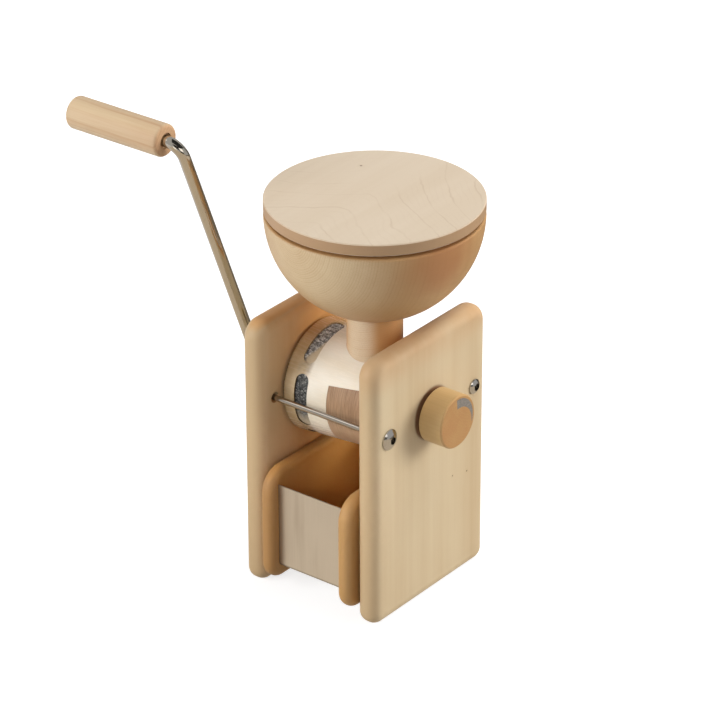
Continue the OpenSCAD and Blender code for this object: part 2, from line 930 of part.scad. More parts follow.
// Drawer side on the crank side, with the sheet's groove and the dowel holes
module drawer_side() {
  low_r = max(side_low_r, side_r + corner_step);
  top_r = max(side_top_r, side_r + corner_step);
  difference() {
    rounded_board(side_left_x, side_t, side_front_y, side_rear_y, side_low, side_top, side_r,
      [low_r, low_r, low_r, top_r]);
    plate_x(-side_inner, 2 * (groove_depth + fit_gap))
      pan_outline(fit_gap);
    drawer_dowel_set(fit_gap);
  }
}

module drawer_left_side() {
  color(beech)
    drawer_side();
}

module drawer_right_side() {
  color(beech)
    mirror([1, 0, 0])
      drawer_side();
}

module drawer_pan() {
  color(sheet_steel)
    plate_x(0, 2 * (side_inner + groove_depth))
      pan_outline(0);
}

module drawer_back() {
  color(beech)
    difference() {
      translate([-side_inner, back_front_y, back_low])
        cube([2 * side_inner, back_t, back_top - back_low]);
      drawer_dowel_set(fit_gap);
    }
}

module drawer_dowels() {
  color(dowel_beech)
    drawer_dowel_set(0);
}

// Tapering mark along the rim of the knob's face, wide at its head
module mark_outline(gap) {
  reach = 2 * mark_d;
  intersection() {
    difference() {
      circle(mark_d / 2 + gap);
      translate(mark_shift * [cos(mark_tail_angle), sin(mark_tail_angle)])
        circle(mark_inner_d / 2 - gap);
    }
    polygon([
      [0, 0], reach * [cos(mark_tip_angle), sin(mark_tip_angle)],
      reach * [cos(mark_mid_angle), sin(mark_mid_angle)],
      reach * [cos(mark_head_angle), sin(mark_head_angle)]]);
  }
}

// Inlaid mark, sunk in the knob's face
module mark_form(gap) {
  translate([knob_right - mark_t - gap, 0, 0])
    rotate([90, 0, 90])
      linear_extrude(height = mark_t + gap)
        mark_outline(gap);
}

module knob() {
  color(knob_beech)
    on_axis()
      difference() {
        turned_x()
          polygon([
            [0, knob_left], [knob_d / 2 - knob_chamfer / 2, knob_left],
            [knob_d / 2, knob_left + knob_chamfer / 2],
            [knob_d / 2, knob_right - knob_chamfer],
            [knob_d / 2 - knob_chamfer, knob_right], [0, knob_right]]);
        bar_x(knob_left - over, knob_hole_end, spindle_end_d + 2 * fit_gap);
        translate([knob_screw_x, 0, -knob_d])
          cylinder(h = knob_d, d = knob_screw_d + 2 * fit_gap);
        mark_form(fit_gap);
      }
}

module knob_mark() {
  color(mark_grey)
    on_axis()
      mark_form(0);
}

module knob_screw() {
  color(steel)
    on_axis()
      difference() {
        translate([knob_screw_x, 0, knob_screw_low])
          cylinder(h = knob_screw_len, d = knob_screw_d);
        translate([knob_screw_x, 0, knob_screw_low - over])
          cylinder(h = set_socket_depth + over, d = set_socket_af / cos(30), $fn = 6);
      }
}

module adjusting_spindle() {
  color(steel)
    on_axis() {
      bar_x(spindle_tip, spindle_flange_left, thread_d - 2 * run_gap);
      bar_x(spindle_flange_left, spindle_flange_right, spindle_flange_d);
      bar_x(spindle_flange_right, knob_left, spindle_d);
      bar_x(knob_left, spindle_end, spindle_end_d);
    }
}

module thrust_sleeve() {
  color(brass)
    on_axis()
      difference() {
        bar_x(sleeve_left, sleeve_right, sleeve_d);
        bar_x(sleeve_left - over, sleeve_right, journal_d + 2 * run_gap);
        bar_x(sleeve_left + sleeve_wall, sleeve_right + over, thread_d);
        translate([sleeve_left - over, -keyway_w / 2, -sleeve_d])
          cube([sleeve_len + 2 * over, keyway_w, sleeve_d - keyway_r]);
      }
}

module main_shaft() {
  color(steel)
    on_axis()
      difference() {
        union() {
          bar_x(shaft_start, sleeve_left - slide_gap, shaft_d);
          bar_x(sleeve_left - slide_gap, shaft_end, journal_d);
        }
        turned_x()
          band(groove_d / 2, journal_d, ring_left, ring_left + ring_t);
        drive_pin_form(fit_gap);
      }
}

// Cross pin through the shaft and the hub, or its hole when a clearance is given
module drive_pin_form(gap) {
  translate([(hub_left + hub_right) / 2, 0, 0])
    cylinder(h = shaft_d + 2 * (drive_pin_reach + gap), d = drive_pin_d + 2 * gap, center = true);
}

module drive_pin() {
  color(steel)
    on_axis()
      drive_pin_form(0);
}

// Carrier of the running stone: a disc with spokes that let the grain through
module stone_hub() {
  boss_r = shaft_d / 2 + hub_boss_wall;
  pitch = 360 / hub_spokes;
  color(steel)
    on_axis()
      difference() {
        bar_x(hub_left, hub_right, running_stone_d - 2 * hub_rim);
        bar_x(hub_left - over, hub_right + over, shaft_d + 2 * fit_gap);
        for (i = [0 : hub_spokes - 1])
          sector_x(i * pitch + hub_spoke_angle / 2, (i + 1) * pitch - hub_spoke_angle / 2)
            band(boss_r, running_eye_d / 2, hub_left - over, hub_right + over);
        drive_pin_form(fit_gap);
      }
}

module running_stone() {
  color(stone_grey)
    on_axis()
      difference() {
        bar_x(running_left, hub_left, running_stone_d);
        bar_x(running_left - over, hub_left + over, running_eye_d);
      }
}

// Helical flight on the shaft that carries the grain from the chute to the stones
module feed_screw() {
  steps = 24 * flight_turns;
  inner_r = shaft_d / 2 + fit_gap;
  outer_r = feed_bore_d / 2 - flight_gap;
  start = block_left + flight_t;
  length = sleeve_left - start - 2 * flight_t;
  section = [[inner_r, -1], [outer_r, -1], [outer_r, 1], [inner_r, 1]];
  points = [for (i = [0 : steps], p = section)
    let (a = 360 * flight_turns * i / steps)
    [start + length * i / steps + p[1] * flight_t / 2, p[0] * cos(a), p[0] * sin(a)]];
  sides = [for (i = [0 : steps - 1], k = [0 : 3])
    let (a = 4 * i + k, b = 4 * i + (k + 1) % 4)
    each [[a, b, b + 4], [a, b + 4, a + 4]]];
  ends = [[for (k = [3 : -1 : 0]) k], [for (k = [0 : 3]) 4 * steps + k]];
  color(steel)
    on_axis()
      polyhedron(points = points, faces = concat(sides, ends));
}

// Spring ring with an opening, in a groove of a rod
module open_ring(x0, inner_d, outer_d) {
  opening = inner_d / 2;
  difference() {
    bar_x(x0, x0 + ring_t, outer_d);
    bar_x(x0 - over, x0 + ring_t + over, inner_d + 2 * fit_gap);
    translate([x0 - over, -opening / 2, -outer_d])
      cube([ring_t + 2 * over, opening, outer_d]);
  }
}

module shaft_ring() {
  color(steel)
    on_axis()
      open_ring(ring_left, groove_d, ring_d);
}

module crank_coupling() {
  color(steel)
    on_axis()
      rotate([crank_tilt, 0, 0])
        difference() {
          bar_x(coupling_left, coupling_right, coupling_d);
          bar_x(rod_start, coupling_right + over, shaft_d + 2 * fit_gap);
          bar_x(coupling_left - over, rod_start + over, rod_d + 2 * fit_gap);
          for (seat = coupling_seats)
            translate([seat[0], 0, 0])
              cylinder(h = coupling_d, d = coupling_screw_d + 2 * fit_gap);
        }
}

module coupling_screws() {
  color(steel)
    on_axis()
      rotate([crank_tilt, 0, 0])
        for (seat = coupling_seats)
          translate([seat[0], 0, seat[1]])
            difference() {
              cylinder(h = coupling_screw_len, d = coupling_screw_d);
              translate([0, 0, coupling_screw_len - set_socket_depth])
                cylinder(h = set_socket_depth + over, d = set_socket_af / cos(30), $fn = 6);
            }
}

// Quarter bend of the crank rod in the plane of its arm
module rod_bend(x, z, turn) {
  translate([x, 0, z])
    rotate([90, 0, 0])
      rotate([0, 0, turn])
        rotate_extrude(angle = 90)
          translate([bend_r, 0])
            circle(d = rod_d);
}

// One rod: out of the coupling, up the arm and out again through the grip
module crank_rod() {
  color(steel)
    on_axis()
      rotate([crank_tilt, 0, 0])
        difference() {
          union() {
            bar_x(arm_x + bend_r, rod_start, rod_d);
            rod_bend(arm_x + bend_r, bend_r, 180);
            translate([arm_x, 0, bend_r])
              cylinder(h = crank_r - 2 * bend_r, d = rod_d);
            rod_bend(arm_x - bend_r, crank_r - bend_r, 0);
            translate([0, 0, crank_r])
              bar_x(rod_end, arm_x - bend_r, rod_d);
          }
          translate([0, 0, crank_r])
            turned_x()
              band(rod_groove_d / 2, rod_d, grip_ring_left, grip_ring_left + ring_t);
        }
}

// Places a piece on the grip's axis
module on_grip_axis() {
  on_axis()
    rotate([crank_tilt, 0, 0])
      translate([0, 0, crank_r])
        children();
}

module grip_ring() {
  color(steel)
    on_grip_axis()
      open_ring(grip_ring_left, rod_groove_d, grip_ring_d);
}

module grip() {
  r = grip_d / 2;
  color(beech)
    on_grip_axis()
      difference() {
        turned_x() {
          band(0, r, grip_left + grip_end_r, grip_right - grip_end_r);
          band(0, r - grip_end_r, grip_left, grip_right);
          for (x = [grip_left + grip_end_r, grip_right - grip_end_r])
            translate([r - grip_end_r, x])
              circle(grip_end_r);
        }
        bar_x(grip_left - over, grip_right + over, rod_d + 2 * run_gap);
        bar_x(grip_left - over, grip_pocket_end, grip_plug_d + 2 * fit_gap);
        bar_x(grip_right - grip_mouth_depth, grip_right + over, grip_mouth_d);
      }
}

module grip_plug() {
  color(dowel_beech)
    on_grip_axis()
      bar_x(grip_left, grip_left + grip_plug_t, grip_plug_d);
}

left_panel();
right_panel();
base_board();
base_dowels();
front_tie_rod();
rear_tie_rod();
left_tie_nuts();
right_tie_nuts();
drum_shell();
drum_inlay();
fixed_stone();
feed_block();
sleeve_guide();
guide_pin();
left_bearing();
spindle_bush();
hopper_neck();
hopper_bowl();
lid();
drawer_left_side();
drawer_right_side();
drawer_pan();
drawer_back();
drawer_dowels();
knob();
knob_mark();
knob_screw();
adjusting_spindle();
thrust_sleeve();
main_shaft();
stone_hub();
drive_pin();
running_stone();
feed_screw();
shaft_ring();
crank_coupling();
coupling_screws();
crank_rod();
grip_ring();
grip();
grip_plug();
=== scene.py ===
"""Looks of the hand grain mill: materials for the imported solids, studio, light and camera."""
import math

import bpy
from mathutils import Matrix, Vector


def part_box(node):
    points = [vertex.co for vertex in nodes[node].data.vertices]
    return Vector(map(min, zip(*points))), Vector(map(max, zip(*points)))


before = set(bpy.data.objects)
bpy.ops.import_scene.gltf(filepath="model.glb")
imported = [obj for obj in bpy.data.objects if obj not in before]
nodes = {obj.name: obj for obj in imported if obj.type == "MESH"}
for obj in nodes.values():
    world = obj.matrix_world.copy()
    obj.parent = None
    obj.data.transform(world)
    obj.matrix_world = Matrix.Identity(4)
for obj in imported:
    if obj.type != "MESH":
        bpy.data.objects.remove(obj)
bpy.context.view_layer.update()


def middle(node):
    """Middle of a solid's box."""
    low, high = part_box(node)
    return (low + high) / 2


# Stations of the solids that the materials follow, in metres
_, TIE_Y, AXIS_H = middle("rear_tie_rod")
_, GRIP_Y, GRIP_Z = middle("grip")
KNOB_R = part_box("knob")[1].y
RIM_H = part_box("hopper_bowl")[1].z
LID_TOP_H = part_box("lid")[1].z
PANEL_X, _, PANEL_TOP_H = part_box("right_panel")[1]
SHEET_LEFT_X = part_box("drawer_left_side")[1].x
SHEET_FOOT_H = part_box("drawer_pan")[0].z
# Sizes inside a solid, which no box shows
SOCKET_R = 0.003
WINDOW_X = -0.0292
DRUM_SEAT_H, DRUM_LEFT_R, DRUM_RIGHT_R = 0.0015, 0.049, 0.042
DRUM_LEFT_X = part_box("drum_shell")[0].x + DRUM_SEAT_H
DRUM_TAPER = (DRUM_RIGHT_R - DRUM_LEFT_R) / (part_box("drum_shell")[1].x - DRUM_LEFT_X)
# Point that the cards and most lamps are turned to
MILL_MIDDLE = Vector((0, 0, 0.2))

X, Y, Z = (1, 0, 0), (0, 1, 0), (0, 0, 1)
WHITE = (1, 1, 1, 1)


def srgb(r, g, b):
    """Linear colour of an 8-bit screen colour."""
    out = []
    for c in (r, g, b):
        c /= 255
        out.append(c / 12.92 if c <= 0.04045 else ((c + 0.055) / 1.055) ** 2.4)
    return (*out, 1.0)


class Nodes:
    """Short forms for building the node tree of one material or world."""

    def __init__(self, name, blocks=bpy.data.materials):
        self.block = blocks.new(name)
        self.block.use_nodes = True
        self.tree = self.block.node_tree
        self.tree.nodes.clear()

    def add(self, kind, settings=None, **inputs):
        """New node; an underscore in an input's name stands for a space."""
        node = self.tree.nodes.new("ShaderNode" + kind)
        for key, value in (settings or {}).items():
            setattr(node, key, value)
        for key, value in inputs.items():
            self.put(node.inputs[key.replace("_", " ")], value)
        return node

    def put(self, socket, value):
        """Link a socket to another one, or set its value."""
        if isinstance(value, bpy.types.NodeSocket):
            self.tree.links.new(value, socket)
        else:
            socket.default_value = value

    def math(self, operation, *values, clamp=False):
        node = self.add("Math", {"operation": operation, "use_clamp": clamp})
        for socket, value in zip(node.inputs, values):
            self.put(socket, value)
        return node.outputs[0]

    def vector(self, operation, *values, scale=None):
        node = self.add("VectorMath", {"operation": operation})
        for socket, value in zip(node.inputs, values):
            self.put(socket, value)
        if scale is not None:
            self.put(node.inputs["Scale"], scale)
        return node.outputs["Value" if operation in ("LENGTH", "DOT_PRODUCT", "DISTANCE") else "Vector"]

    def place(self):
        return self.add("TexCoord").outputs["Object"]

    def normal(self):
        return self.add("TexCoord").outputs["Normal"]

    def split(self, vector):
        return self.add("SeparateXYZ", Vector=vector).outputs

    def noise(self, vector, scale, detail=2.0, rough=0.5):
        return self.add("TexNoise", Vector=vector, Scale=scale, Detail=detail, Roughness=rough).outputs["Fac"]

    def cells(self, vector, scale):
        return self.add("TexVoronoi", Vector=vector, Scale=scale).outputs

    def smooth(self, value, low, high, out_low=0.0, out_high=1.0):
        """Smooth step from out_low at low to out_high at high; low may be the larger one."""
        node = self.add("MapRange", {"interpolation_type": "SMOOTHSTEP"}, Value=value, From_Min=low,
                        From_Max=high, To_Min=out_low, To_Max=out_high)
        return node.outputs["Result"]

    def between(self, value, low, high, soft):
        """1 from low to high and 0 outside, with soft ends."""
        return self.math("MULTIPLY", self.smooth(value, low - soft, low + soft),
                         self.smooth(value, high + soft, high - soft))

    def mix(self, factor, a, b):
        """Colour a, or b where the factor is 1."""
        node = self.add("Mix", {"data_type": "RGBA"})
        # The node has a set of sockets for each data type; these are the ones for colours
        for index, value in ((0, factor), (6, a), (7, b)):
            self.put(node.inputs[index], value)
        return node.outputs[2]

    def ramp(self, factor, stops, interpolation="LINEAR"):
        node = self.add("ValToRGB", Fac=factor)
        ramp = node.color_ramp
        ramp.interpolation = interpolation
        while len(ramp.elements) < len(stops):
            ramp.elements.new(0.5)
        for element, (position, color) in zip(ramp.elements, stops):
            element.position = position
            element.color = color if hasattr(color, "__len__") else (color, color, color, 1.0)
        return node.outputs["Color"]

    def bump(self, height, strength, distance):
        return self.add("Bump", Height=height, Strength=strength, Distance=distance).outputs["Normal"]

    def join(self, kind, *shaders, **inputs):
        """Shader made of others by an Add or Mix Shader node."""
        node = self.add(kind, **inputs)
        for socket, shader in zip((s for s in node.inputs if s.type == "SHADER"), shaders):
            self.put(socket, shader)
        return node.outputs[0]

    def surface(self, shader, kind="OutputMaterial"):
        """Give the finished shader to the output node."""
        self.add(kind, Surface=shader)
        return self.block

    def finish(self, **inputs):
        return self.surface(self.add("BsdfPrincipled", **inputs).outputs[0])


def wood(name, pale, deep, grain, pith, ring=0.0025, lines=0.15, warp=0.004, fibre=0.1, streak=0.25,
         cloud=0.3, end=None, end_from=0.35, end_share=0.5, polish=0.44, knots=(), tint=None):
    """Fine-grained hardwood: growth rings around a pith line, fibres, soft streaks, end grain and pin knots.

    The tone lies between pale and deep, and lines, fibre, streak and cloud say how much rings, fibres,
    streaks and clouds move it. grain is the fibres' direction, pith a point on the pith line, ring the width
    of a growth ring and warp its sway in metres. Where the surface turns across the grain, from end_from on
    to 1, it takes the tone end by up to end_share. polish is the mean roughness, knots are pairs of place and
    radius, and tint is a function that changes the colour.
    """
    n = Nodes(name)
    place = n.place()
    rel = n.vector("SUBTRACT", place, pith)
    axial = n.vector("SCALE", grain, scale=n.vector("DOT_PRODUCT", rel, grain))
    radial = n.vector("SUBTRACT", rel, axial)

    def stretched(share):
        """Place with its part along the grain shortened, which draws a pattern out along the grain."""
        return n.vector("ADD", radial, n.vector("SCALE", axial, scale=share))

    def swing(value, size):
        """Noise turned into a change of up to size both ways."""
        return n.math("MULTIPLY", n.math("SUBTRACT", value, 0.5), 2 * size)

    sway = n.noise(stretched(0.25), 14.0, 3.0, 0.55)
    distance = n.math("ADD", n.vector("LENGTH", radial), swing(sway, warp))
    count = n.math("DIVIDE", distance, ring)
    ring_profile = [(0.0, 0.1), (0.5, 0.2), (0.84, 1.0), (0.93, 0.7), (1.0, 0.1)]
    line = n.ramp(n.math("FRACT", count), ring_profile, "EASE")
    which = n.add("TexWhiteNoise", {"noise_dimensions": "1D"}, W=n.math("FLOOR", count)).outputs["Value"]
    rings = n.math("MULTIPLY", line, n.math("MULTIPLY_ADD", which, 0.7, 0.3))
    fibres = n.noise(stretched(0.025), 900.0, 3.0, 0.6)
    share = n.math("MULTIPLY_ADD", rings, lines, 0.3)
    share = n.math("ADD", share, swing(fibres, fibre))
    share = n.math("ADD", share, swing(n.noise(stretched(0.03), 75.0, 3.0, 0.55), streak))
    share = n.math("ADD", share, swing(n.noise(stretched(0.4), 14.0, 3.0, 0.5), cloud), clamp=True)
    color = n.mix(share, pale, deep)
    if end:
        facing = n.math("ABSOLUTE", n.vector("DOT_PRODUCT", n.normal(), grain))
        pores = n.smooth(n.noise(radial, 1400.0, 1.0), 0.3, 0.7, 1.05, 0.93)
        cut = n.vector("SCALE", n.mix(share, end, deep), scale=pores)
        color = n.mix(n.smooth(facing, end_from, 1.0, 0.0, end_share), color, cut)
    if tint:
        color = tint(n, place, color)
    for point, radius in knots:
        reach = n.math("DIVIDE", n.vector("DISTANCE", place, point), radius)
        color = n.mix(n.smooth(reach, 3.4, 0.8, 0.0, 0.3), color, deep)
        color = n.mix(n.smooth(reach, 1.0, 0.4, 0.0, 0.8), color, srgb(104, 66, 38))
    rough = n.math("ADD", swing(fibres, 0.05), polish)
    height = n.math("MULTIPLY_ADD", rings, -0.4, fibres)
    return n.finish(Base_Color=color, Roughness=rough, Normal=n.bump(height, 0.1, 0.00015),
                    Specular_IOR_Level=0.5)


def lid_figure(n, place, color):
    """Bent growth lines across the lid, nested along its depth, and a browner rim, partly its end grain and
    partly painted shade on the upright sides.
    """
    bend_x, bend_r = 0.006, 0.006
    # Pitch, shift and width of each set of lines, the width in parts of the pitch, and the lines' strength
    line_sets = ((0.0325, 1.42, 0.022, 0.19), (0.0081, 0.2, 0.07, 0.05))
    line_brown, rim_grain_and_shade = srgb(168, 134, 98), srgb(174, 137, 99)
    x, y, _ = n.split(place)
    side = n.math("SUBTRACT", x, bend_x)
    arm = n.math("SQRT", n.math("MULTIPLY_ADD", side, side, bend_r ** 2))
    sway = n.math("SUBTRACT", n.noise(place, 22.0, 3.0), 0.5)
    slope = n.smooth(y, -0.04, 0.04, 0.7, 1.15)
    level = n.math("MULTIPLY_ADD", sway, 0.028, n.math("MULTIPLY_ADD", arm, slope, y))
    patch = n.smooth(n.noise(place, 30.0, 2.0), 0.35, 0.65, 0.25, 1.0)
    back_left = n.math("MULTIPLY", n.smooth(y, -0.01, 0.02, 0.0, 0.85), n.smooth(side, 0.02, 0.0))
    patch = n.math("MULTIPLY", patch, n.math("SUBTRACT", 1.0, back_left))
    for pitch, shift, width, depth in line_sets:
        phase = n.math("FRACT", n.math("ADD", n.math("DIVIDE", level, pitch), shift))
        off = n.math("ABSOLUTE", n.math("SUBTRACT", phase, 0.5))
        line = n.math("MULTIPLY", n.smooth(off, 2.2 * width, 0.3 * width, 0.0, depth), patch)
        color = n.mix(line, color, line_brown)
    # Browner upright rim: partly end grain, partly painted shade
    upright = n.math("ABSOLUTE", n.split(n.normal())[2])
    return n.mix(n.smooth(upright, 0.85, 0.4, 0.0, 0.9), color, rim_grain_and_shade)


def bowl_flush(n, place, color):
    """Redder patch of the hopper below its rim on the knob side."""
    middle, outer_r, inner_r = (0.0935, -0.0215, 0.319), 0.042, 0.008
    wander = n.math("SUBTRACT", n.noise(place, 45.0, 3.0), 0.5)
    ragged = n.math("MULTIPLY_ADD", wander, 0.02, n.vector("DISTANCE", place, middle))
    return n.mix(n.smooth(ragged, outer_r, inner_r, 0.0, 0.65), color, srgb(172, 112, 68))


def axis_reach(n, aside, z):
    """Height above the mill's axis, and distance from a line along X at the axis's height."""
    up = n.math("SUBTRACT", z, AXIS_H)
    return up, n.math("SQRT", n.math("MULTIPLY_ADD", aside, aside, n.math("MULTIPLY", up, up)))


def painted_panel_shade(n, place, color):
    """Painted shade on the panel behind the knob, where the gap under its rim lies in shadow, and painted
    warm shade and reflection of the hopper along the panel's top.
    """
    gap_shade_brown, painted_top_shade = srgb(122, 68, 26), srgb(204, 150, 98)
    soft = 0.0015
    top_low, top_high = PANEL_TOP_H - 0.035, PANEL_TOP_H - 0.002
    _, y, z = n.split(place)
    outer = n.smooth(n.split(n.normal())[0], 0.5, 0.9)
    _, reach = axis_reach(n, y, z)
    # Painted shadow in the gap behind the knob, on the panel's outer face only
    behind = n.smooth(reach, KNOB_R + soft, KNOB_R - soft, 0.0, 0.8)
    color = n.mix(n.math("MULTIPLY", behind, outer), color, gap_shade_brown)
    # Painted warm shade and reflection of the hopper along the panel's top band
    cloud = n.smooth(n.noise(place, 25.0, 3.0), 0.3, 0.7, 0.5, 1.0)
    return n.mix(n.math("MULTIPLY", n.smooth(z, top_low, top_high, 0.0, 0.5), cloud), color, painted_top_shade)


def all_of(*tints):
    """Several tints, one after the other."""
    def tint(n, place, color):
        for one in tints:
            color = one(n, place, color)
        return color
    return tint


def painted_inside_shade(shade_color, side=1.0, top=0.0, edge=0.0):
    """Painted shade and warm bounce light for boards that turn one face to the mill's inside.

    It is deepest behind the drum and fades towards the board's back edge. side is the X direction of that
    face, top the share of painted shade on the board's top and edge the share of a duller painted shade on
    its front edge.
    """
    front_y, deep_y, fade_y, back_y = -0.075, 0.01, 0.03, 0.065
    front_edge_shade = srgb(184, 150, 106)

    def tint(n, place, color):
        y = n.split(place)[1]
        nx, ny, nz = n.split(n.normal())
        # Painted shade and warm bounce light on the inside face, deepest behind the drum
        depth = n.math("MULTIPLY", n.smooth(y, front_y, deep_y, 0.12, 0.8),
                       n.smooth(y, back_y, fade_y, 0.25, 1.0))
        inside = n.math("MULTIPLY", n.smooth(n.math("MULTIPLY", nx, side), 0.2, 0.95), depth)
        # Painted shade on the front edge and on the board's top
        color = n.mix(n.smooth(ny, -0.2, -0.9, 0.0, edge), color, front_edge_shade)
        return n.mix(n.math("MAXIMUM", inside, n.smooth(nz, 0.4, 1.0, 0.0, top)), color, shade_color)
    return tint


def steel(name, color, rough, streak, streak_scale, depth=0.0001, smear=0.1, tint=None):
    """Bright or brushed metal with drawn streaks along one direction and slight handling smears."""
    n = Nodes(name)
    place = n.place()
    lines = n.noise(n.vector("MULTIPLY", place, streak), streak_scale, 2.0, 0.55)
    cloud = n.noise(place, 22.0, 3.0)
    tone = n.math("MULTIPLY_ADD", cloud, 0.16, 0.92)
    tone = n.math("MULTIPLY_ADD", n.math("SUBTRACT", lines, 0.5), 0.14, tone)
    base = n.vector("SCALE", color[:3], scale=tone)
    if tint:
        base = tint(n, place, base)
    roughness = n.math("MULTIPLY_ADD", cloud, smear, rough - smear)
    roughness = n.math("MULTIPLY_ADD", lines, smear, roughness, clamp=True)
    return n.finish(Base_Color=base, Metallic=1.0, Roughness=roughness, Normal=n.bump(lines, 0.15, depth))


def dark_socket(n, place, color):
    """Shadowed hex sockets of the tie nuts."""
    _, y, z = n.split(place)
    _, reach = axis_reach(n, n.math("SUBTRACT", n.math("ABSOLUTE", y), TIE_Y), z)
    return n.mix(n.smooth(reach, 1.1 * SOCKET_R, 0.9 * SOCKET_R, 0.0, 0.85), color, srgb(40, 34, 30))


def sheet_streaks_and_shade(n, place, color):
    """Sheet front: a painted bluish reflection and a painted shadow line along its left groove, dull brushed
    columns and painted shade on its lower bend.
    """
    bluish, groove = srgb(150, 150, 156), srgb(136, 126, 112)
    dull, bend = srgb(158, 142, 126), srgb(104, 98, 86)
    x, _, z = n.split(place)
    # Painted bluish reflection next to the left drawer side
    color = n.mix(n.smooth(x, SHEET_LEFT_X + 0.008, SHEET_LEFT_X + 0.002, 0.0, 0.4), color, bluish)
    # Painted shadow line where the sheet meets the left drawer side
    color = n.mix(n.smooth(x, SHEET_LEFT_X + 0.0013, SHEET_LEFT_X + 0.0002, 0.0, 0.6), color, groove)
    column = n.noise(n.vector("MULTIPLY", place, (1.0, 1.0, 0.15)), 60.0, 2.0)
    color = n.mix(n.smooth(column, 0.5, 0.75, 0.0, 0.3), color, dull)
    # Painted shade and dull reflection on the lower bend
    return n.mix(n.smooth(z, SHEET_FOOT_H + 0.0042, SHEET_FOOT_H + 0.0015, 0.0, 0.65), color, bend)


def drum_angle(n, place):
    """Place along the mill's axis, angle above the front in radians and distance from the axis."""
    x, y, z = n.split(place)
    front = n.math("MULTIPLY", y, -1.0)
    up, reach = axis_reach(n, front, z)
    return x, n.math("ARCTAN2", up, front), reach


def by_window(n, angle, front, upper):
    """Value that changes from the front window to the one above it."""
    return n.smooth(angle, 0.4, 0.8, front, upper)


def millstone(name):
    """Speckled cast stone with painted shade along the window borders; flour lies on its lower ends in the
    windows.
    """
    border_from, border_to = 0.0046, 0.0058
    # The dusted end of the upper window lies below a slanting line, given by its slope and one point
    dust_slope, dust_x, dust_angle = 42.6, -0.033, 0.75
    border_shade_grey, patch_grey, flour = srgb(30, 29, 28), srgb(132, 132, 130), srgb(206, 188, 158)
    n = Nodes(name)
    place = n.place()
    coarse, fine = n.cells(place, 640.0), n.cells(place, 1500.0)
    tints = [n.add("SeparateColor", Color=c["Color"]).outputs[0] for c in (coarse, fine)]
    grit = n.math("MULTIPLY_ADD", tints[0], 0.6, n.math("MULTIPLY", tints[1], 0.4))
    color = n.ramp(grit, [(0.1, srgb(44, 44, 45)), (0.45, srgb(84, 85, 85)), (0.7, srgb(116, 115, 113)),
                          (0.95, srgb(176, 174, 168))])
    color = n.vector("SCALE", color, scale=n.smooth(coarse["Distance"], 0.35, 0.8, 1.0, 0.6))
    patch = n.noise(place, 130.0, 3.0)
    color = n.mix(n.smooth(patch, 0.4, 0.75, 0.0, 0.2), color, patch_grey)
    x, angle, _ = drum_angle(n, place)
    color = n.vector("SCALE", color, scale=by_window(n, angle, 1.0, 3.3))
    color = n.vector("MINIMUM", color, (0.8, 0.8, 0.8))
    off = n.math("ABSOLUTE", n.math("SUBTRACT", x, WINDOW_X))
    # Painted shade along the window borders, deeper at the front window
    border = n.math("MULTIPLY", n.smooth(off, border_from, border_to), by_window(n, angle, 0.75, 0.25))
    color = n.mix(border, color, border_shade_grey)
    ragged = n.math("MULTIPLY_ADD", n.math("SUBTRACT", patch, 0.5), 0.3, angle)
    limit = n.math("MULTIPLY_ADD", x, dust_slope, dust_angle - dust_slope * dust_x)
    upper_end = n.math("MULTIPLY", n.smooth(n.math("SUBTRACT", ragged, limit), 0.1, -0.12),
                       n.smooth(angle, 0.5, 0.56))
    front_end = n.math("MULTIPLY", n.smooth(ragged, -0.2, -0.5, 0.0, 0.8), n.smooth(angle, -0.8, -0.7))
    color = n.mix(n.math("MAXIMUM", upper_end, front_end), color, flour)
    height = n.math("MULTIPLY_ADD", patch, 0.8, coarse["Distance"])
    return n.finish(Base_Color=color, Roughness=0.82, Normal=n.bump(height, 0.5, 0.0004),
                    Specular_IOR_Level=0.25)


